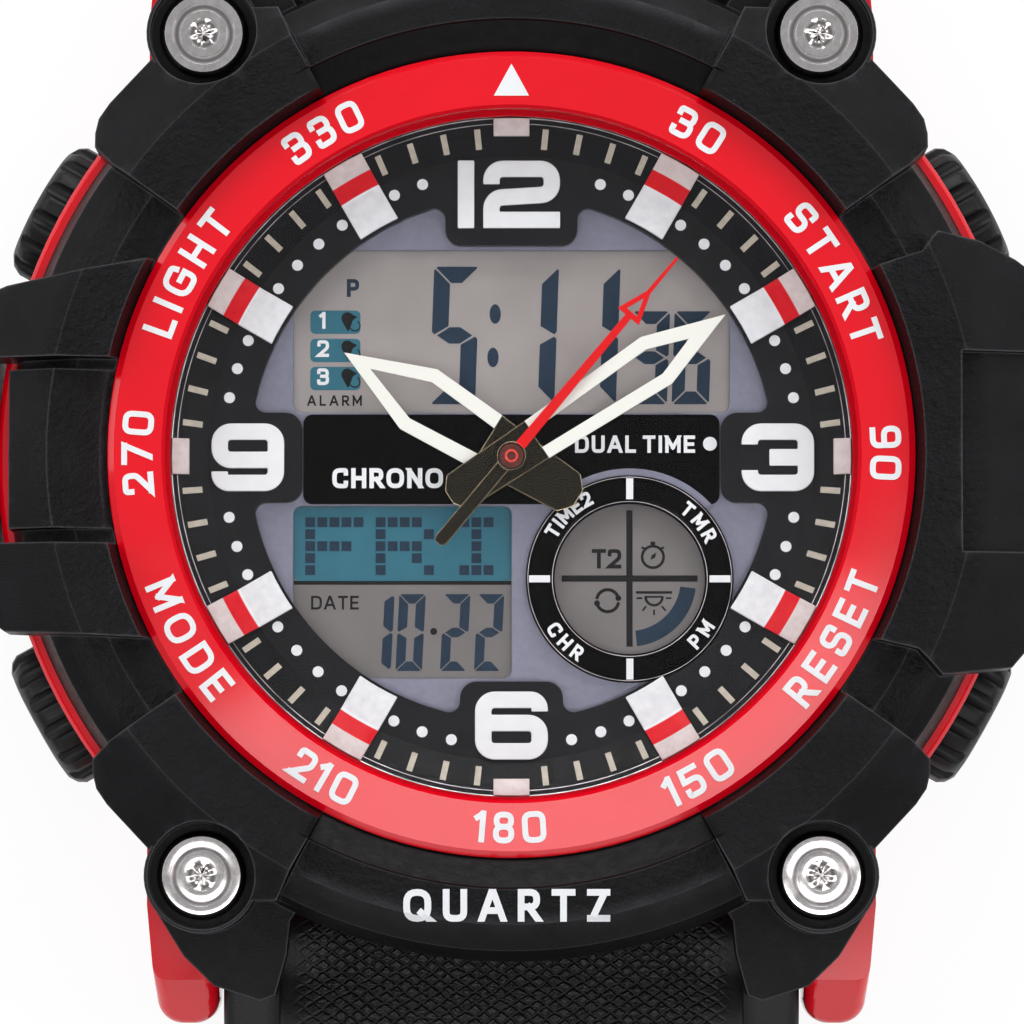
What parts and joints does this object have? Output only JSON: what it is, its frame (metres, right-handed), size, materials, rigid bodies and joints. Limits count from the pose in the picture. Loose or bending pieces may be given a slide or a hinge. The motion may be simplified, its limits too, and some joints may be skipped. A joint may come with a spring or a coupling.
{
  "type": "ana digi watch",
  "caption": "Rugged wristwatch with hands over a digital display, marked red bezel, black resin shell, side pushers and a hinged strap with buckle.",
  "frame": {"origin": "centre of the case back's outer face", "axes": "+Z out of the crystal; +Y along the upper strap, towards 12 o'clock; +X towards 3 o'clock"},
  "size_m": [0.058, 0.2662, 0.0171],
  "materials": {
    "red_gloss": "gloss",
    "black_resin": "grained matte",
    "strap_resin": "grained matte",
    "pusher_black": "ribbed matte",
    "crystal_glass": "polished",
    "dial_grey": "satin",
    "dial_black": "satin",
    "marker_white": "satin",
    "display": "satin",
    "hand_cream": "satin",
    "hand_red": "satin",
    "steel": "brushed",
    "chrome": "polished",
    "seal_rubber": "matte",
    "board_green": "satin",
    "module_resin": "matte",
    "brass": "satin",
    "copper": "satin",
    "lamp_white": "gloss"
  },
  "bodies": {
    "case": {"case_body": "red_gloss", "bezel_ring": "red_gloss", "bezel_shell": "black_resin", "crystal": "crystal_glass", "crystal_gasket": "seal_rubber", "chapter_ring": "dial_black", "hour_markers": "marker_white", "hour_numerals": "marker_white", "dial_plate": "dial_grey", "dial_crossbar": "dial_black", "subdial_ring": "dial_black", "lcd_panel": "display", "connector_strips": "seal_rubber", "circuit_board": "board_green", "module_frame": "module_resin", "movement_plate": "brass", "train_bridge": "brass", "stator": "steel", "coil": "copper", "battery": "steel", "battery_clip": "steel", "buzzer_disc": "brass", "backlight_led": "lamp_white", "contact_springs": "steel", "case_back": "steel", "back_gasket": "seal_rubber", "case_back_screws": "steel", "lug_screws": "chrome", "spring_bar_upper": "steel", "spring_bar_lower": "steel", "pusher_seals": "seal_rubber", "pusher_spring_start": "steel", "pusher_spring_light": "steel", "pusher_spring_mode": "steel", "pusher_spring_reset": "steel"},
    "second": {"second_hand": "hand_red", "second_wheel": "brass"},
    "minute": {"minute_hand": "hand_cream", "center_wheel": "brass"},
    "hour": {"hour_hand": "hand_cream", "hour_wheel": "brass"},
    "third": {"third_wheel": "brass"},
    "intermediate": {"intermediate_wheel": "brass"},
    "rotor": {"rotor": "steel"},
    "minute_wheel": {"minute_wheel": "brass"},
    "strap_upper": {"strap_upper": "strap_resin", "buckle_bar": "steel"},
    "strap_lower": {"strap_lower": "strap_resin"},
    "keeper": {"keeper": "strap_resin"},
    "buckle": {"buckle_frame": "steel"},
    "prong": {"buckle_prong": "steel"},
    "pusher_start": {"pusher_start": "pusher_black", "pusher_clip_start": "steel"},
    "pusher_light": {"pusher_light": "pusher_black", "pusher_clip_light": "steel"},
    "pusher_mode": {"pusher_mode": "pusher_black", "pusher_clip_mode": "steel"},
    "pusher_reset": {"pusher_reset": "pusher_black", "pusher_clip_reset": "steel"}
  },
  "joints": [
    {"name": "second_spin", "type": "hinge", "parent": "case", "child": "second", "pos_m": [0, 0, 0.0095], "axis": [0, 0, -1], "continuous": true},
    {"name": "minute_spin", "type": "hinge", "parent": "case", "child": "minute", "pos_m": [0, 0, 0.0095], "axis": [0, 0, -1], "continuous": true},
    {"name": "hour_spin", "type": "hinge", "parent": "case", "child": "hour", "pos_m": [0, 0, 0.0095], "axis": [0, 0, -1], "continuous": true},
    {"name": "third_spin", "type": "hinge", "parent": "case", "child": "third", "pos_m": [-0.00383, -0.0014, 0.0069], "axis": [0, 0, -1], "continuous": true},
    {"name": "intermediate_spin", "type": "hinge", "parent": "case", "child": "intermediate", "pos_m": [0, 0.0042, 0.0069], "axis": [0, 0, -1], "continuous": true},
    {"name": "rotor_spin", "type": "hinge", "parent": "case", "child": "rotor", "pos_m": [0, 0.007, 0.0069], "axis": [0, 0, -1], "continuous": true},
    {"name": "minute_wheel_spin", "type": "hinge", "parent": "case", "child": "minute_wheel", "pos_m": [0.0015, -0.0026, 0.0082], "axis": [0, 0, -1], "continuous": true},
    {"name": "pusher_start_press", "type": "slide", "parent": "case", "child": "pusher_start", "axis": [-0.8746, -0.4848, 0], "range_m": [0, 0.001], "stiffness_N_per_m": 600, "springref_m": -0.001, "deforming": ["pusher_spring_start"]},
    {"name": "pusher_light_press", "type": "slide", "parent": "case", "child": "pusher_light", "axis": [0.8746, -0.4848, 0], "range_m": [0, 0.001], "stiffness_N_per_m": 600, "springref_m": -0.001, "deforming": ["pusher_spring_light"]},
    {"name": "pusher_mode_press", "type": "slide", "parent": "case", "child": "pusher_mode", "axis": [0.8746, 0.4848, 0], "range_m": [0, 0.001], "stiffness_N_per_m": 600, "springref_m": -0.001, "deforming": ["pusher_spring_mode"]},
    {"name": "pusher_reset_press", "type": "slide", "parent": "case", "child": "pusher_reset", "axis": [-0.8746, 0.4848, 0], "range_m": [0, 0.001], "stiffness_N_per_m": 600, "springref_m": -0.001, "deforming": ["pusher_spring_reset"]},
    {"name": "strap_upper_hinge", "type": "hinge", "parent": "case", "child": "strap_upper", "pos_m": [0, 0.0266, 0.0042], "axis": [1, 0, 0], "range_deg": [-75, 8]},
    {"name": "strap_lower_hinge", "type": "hinge", "parent": "case", "child": "strap_lower", "pos_m": [0, -0.0266, 0.0042], "axis": [-1, 0, 0], "range_deg": [-75, 8]},
    {"name": "keeper_slide", "type": "slide", "parent": "strap_upper", "child": "keeper", "axis": [0, 1, 0], "range_m": [-0.01, 0.006]},
    {"name": "buckle_hinge", "type": "hinge", "parent": "strap_upper", "child": "buckle", "pos_m": [0, 0.098, 0.0028], "axis": [1, 0, 0], "range_deg": [-30, 30]},
    {"name": "prong_hinge", "type": "hinge", "parent": "buckle", "child": "prong", "pos_m": [0, 0.098, 0.0028], "axis": [1, 0, 0], "range_deg": [0, 60]}
  ],
  "couplings": [
    {"joint": "minute_spin", "follows": "second_spin", "ratio": 0.016667},
    {"joint": "hour_spin", "follows": "second_spin", "ratio": 0.0013889},
    {"joint": "third_spin", "follows": "second_spin", "ratio": -0.13333},
    {"joint": "intermediate_spin", "follows": "second_spin", "ratio": -5},
    {"joint": "rotor_spin", "follows": "second_spin", "ratio": 30},
    {"joint": "minute_wheel_spin", "follows": "second_spin", "ratio": -0.0055556}
  ]
}
